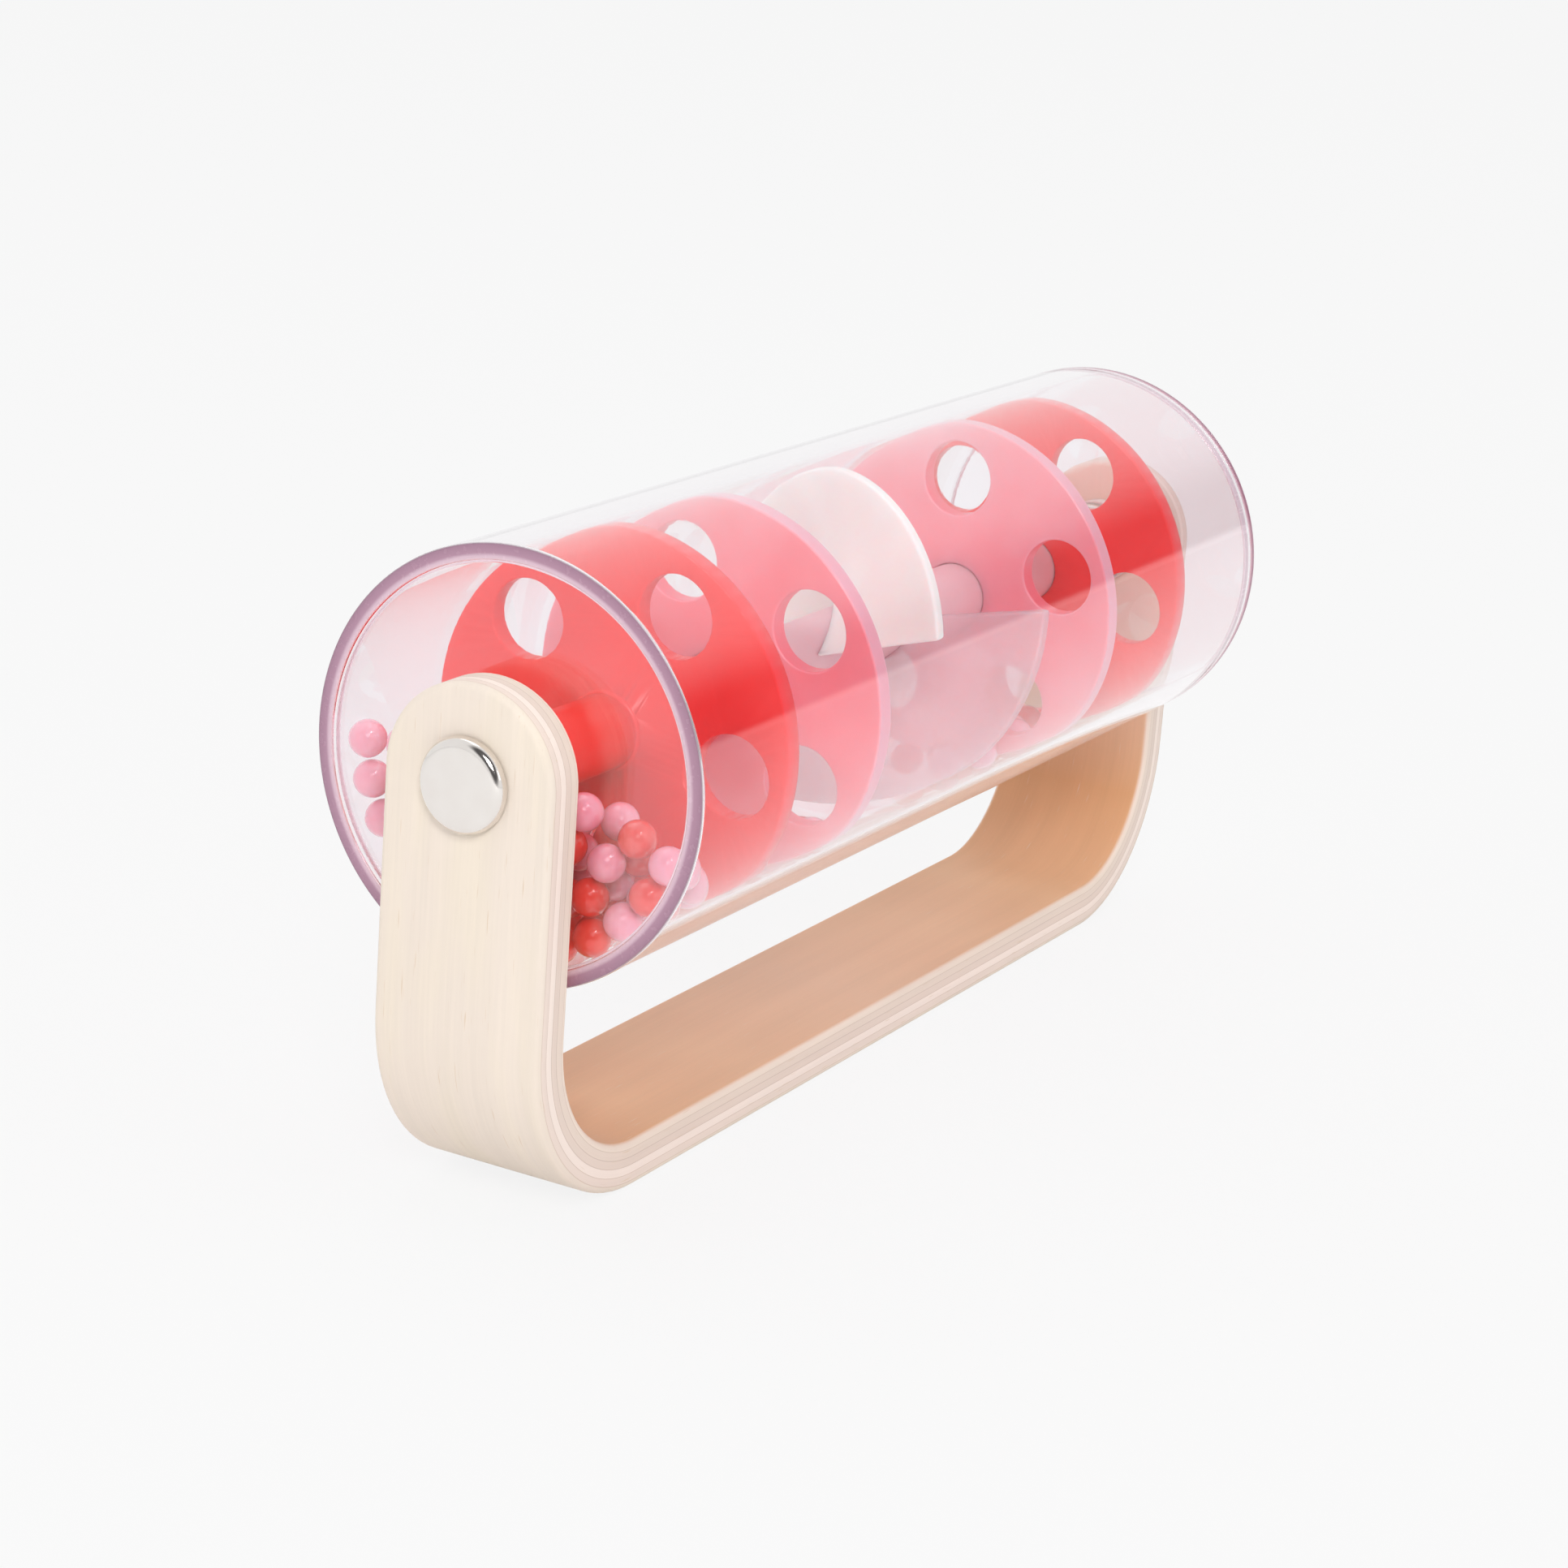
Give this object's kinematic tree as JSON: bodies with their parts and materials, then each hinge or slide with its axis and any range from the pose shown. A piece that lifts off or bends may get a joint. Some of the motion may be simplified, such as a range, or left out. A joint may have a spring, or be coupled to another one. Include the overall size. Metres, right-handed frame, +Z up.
{
  "type": "rain stick",
  "caption": "Child's rain stick: a clear tube of red and pink beads, pierced discs and screw-shaped vanes that turns on steel pivots in a bent plywood carrying handle.",
  "frame": {"origin": "middle of the flat underside of the handle's base, where the toy stands", "axes": "+X along the tube towards the end away from the camera, +Y to the left of the near end, +Z up"},
  "size_m": [0.2024, 0.06, 0.091],
  "materials": {
    "birch_plywood": "bent birch plywood, sanded round edges, thin matt lacquer",
    "clear_acrylic": "clear acrylic with a faint violet tint, polished",
    "polished_steel": "polished steel pin with a flat, round-edged head",
    "nylon": "white nylon",
    "milky_plastic": "milky translucent plastic",
    "red_plastic": "warm red moulded plastic, slightly translucent",
    "pink_plastic": "pink moulded plastic, slightly translucent",
    "pink_beads": "glossy pale pink plastic beads",
    "red_beads": "glossy red plastic beads"
  },
  "bodies": {
    "handle": {"bent_plywood_handle": "birch_plywood"},
    "drum": {"clear_tube": "clear_acrylic", "near_end_cap": "clear_acrylic", "far_end_cap": "clear_acrylic", "near_spacer_washer": "nylon", "far_spacer_washer": "nylon", "near_pivot_pin": "polished_steel", "far_pivot_pin": "polished_steel", "central_shaft": "pink_plastic", "near_red_disc": "red_plastic", "near_pink_disc": "pink_plastic", "far_pink_disc": "pink_plastic", "far_red_disc": "red_plastic", "upper_vane": "milky_plastic", "lower_vane": "milky_plastic"},
    "beads": {"near_end_pink_beads": "pink_beads", "near_end_red_beads": "red_beads", "near_disc_pink_beads": "pink_beads", "near_disc_red_beads": "red_beads", "vane_pink_beads": "pink_beads", "vane_red_beads": "red_beads", "far_disc_pink_beads": "pink_beads", "far_disc_red_beads": "red_beads"}
  },
  "joints": [
    {"name": "drum_spin", "type": "hinge", "parent": "handle", "child": "drum", "pos_m": [0, 0, 0.061], "axis": [1, 0, 0], "continuous": true},
    {"name": "bead_tumble", "type": "hinge", "parent": "handle", "child": "beads", "pos_m": [0, 0, 0.061], "axis": [1, 0, 0], "range_deg": [-25, 25]}
  ]
}
